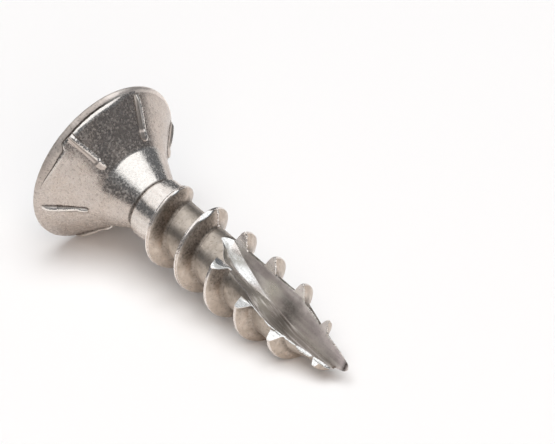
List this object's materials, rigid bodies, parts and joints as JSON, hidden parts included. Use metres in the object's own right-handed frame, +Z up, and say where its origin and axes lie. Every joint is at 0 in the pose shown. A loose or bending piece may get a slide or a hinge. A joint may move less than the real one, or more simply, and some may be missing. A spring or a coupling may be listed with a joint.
{
  "type": "wood screw",
  "caption": "Short countersunk stainless wood screw with a star-shaped drive recess, cutting ribs under the head, a coarse thread and a milled cutting point.",
  "frame": {"origin": "on the floor under the middle of the screw as it lies on its rim and a thread crest", "axes": "+X from the head towards the point, +Z up from the floor"},
  "size_m": [0.0193, 0.009, 0.0089],
  "materials": {
    "stainless": "waxed stainless steel, satin with fine forming marks, brighter where the point is milled"
  },
  "bodies": {
    "root": {"head": "stainless", "ribs": "stainless", "neck": "stainless", "collar": "stainless", "core": "stainless", "thread": "stainless", "point": "stainless"}
  },
  "joints": []
}
